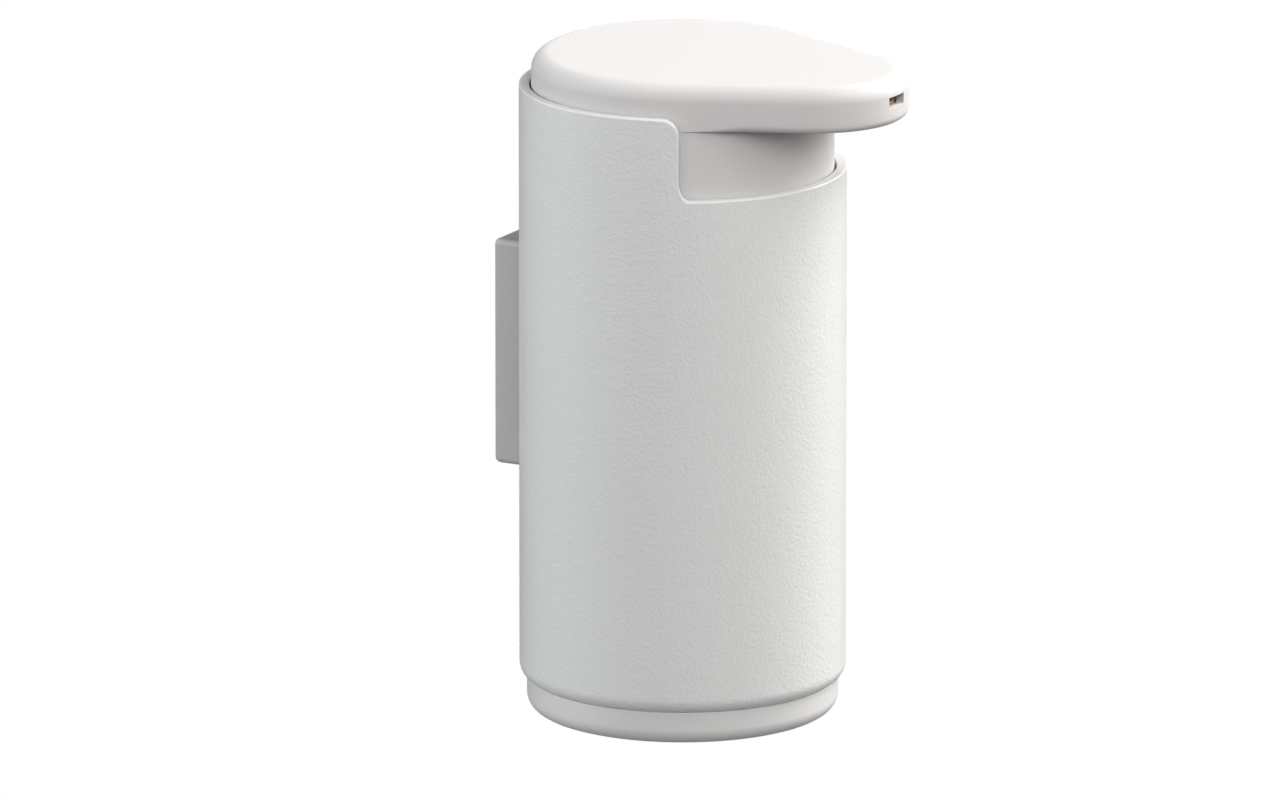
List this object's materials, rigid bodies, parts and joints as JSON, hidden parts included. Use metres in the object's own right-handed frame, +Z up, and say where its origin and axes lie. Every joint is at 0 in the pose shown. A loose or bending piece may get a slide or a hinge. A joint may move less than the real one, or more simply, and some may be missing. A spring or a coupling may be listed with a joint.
{
  "type": "wall mounted soap dispenser",
  "caption": "Wall mounted soap dispenser: coated tube on a dovetail wall plate, lift-out container and pump, push-down head with a wide spout.",
  "frame": {"origin": "centre of the wall plate's back face, on the wall, midway between its two screw holes", "axes": "+Z up along the sleeve, +Y into the wall (the spout points along -Y), +X to the right as seen from the room facing the wall"},
  "size_m": [0.07, 0.092, 0.1444],
  "materials": {
    "sleeve_coat": "matt powder coat with a fine orange-peel grain",
    "head_plastic": "smooth satin",
    "base_plastic": "smooth satin",
    "container_plastic": "smooth, slightly translucent",
    "pump_plastic": "smooth, natural polypropylene",
    "tube_plastic": "translucent extruded tube",
    "duct_plastic": "smooth, beige",
    "seal_rubber": "smooth silicone",
    "plate_steel": "brushed",
    "screw_steel": "plain stainless",
    "ball_steel": "polished",
    "spring_steel": "drawn wire"
  },
  "bodies": {
    "wall": {"wall_plate": "plate_steel"},
    "dispenser": {"outer_sleeve": "sleeve_coat", "mount_block": "sleeve_coat", "block_screws": "screw_steel", "base_cap": "base_plastic"},
    "container": {"soap_container": "container_plastic"},
    "pump": {"pump_carrier": "pump_plastic", "closure_seal": "seal_rubber", "housing_gasket": "seal_rubber", "pump_housing": "pump_plastic", "housing_cap": "pump_plastic", "ball_cage": "pump_plastic", "dip_tube": "tube_plastic", "return_spring": "spring_steel"},
    "head": {"head_shell": "head_plastic", "spout_underplate": "head_plastic", "soap_duct": "duct_plastic", "pump_stem": "pump_plastic", "piston_seal": "seal_rubber"},
    "inlet_valve": {"inlet_ball": "ball_steel"},
    "outlet_valve": {"outlet_ball": "ball_steel"}
  },
  "joints": [
    {"name": "lift_off_wall", "type": "slide", "parent": "wall", "child": "dispenser", "axis": [0, 0, 1], "range_m": [0, 0.045]},
    {"name": "container_lift", "type": "slide", "parent": "dispenser", "child": "container", "axis": [0, 0, 1], "range_m": [0, 0.136]},
    {"name": "pump_lift", "type": "slide", "parent": "container", "child": "pump", "axis": [0, 0, 1], "range_m": [0, 0.095]},
    {"name": "head_press", "type": "slide", "parent": "pump", "child": "head", "axis": [0, 0, -1], "range_m": [0, 0.012], "stiffness_N_per_m": 1200, "springref_m": -0.006, "deforming": ["return_spring"]},
    {"name": "inlet_ball_lift", "type": "slide", "parent": "pump", "child": "inlet_valve", "axis": [0, 0, 1], "range_m": [0, 0.0015]},
    {"name": "outlet_ball_lift", "type": "slide", "parent": "head", "child": "outlet_valve", "axis": [0, 0, 1], "range_m": [0, 0.0012]}
  ]
}
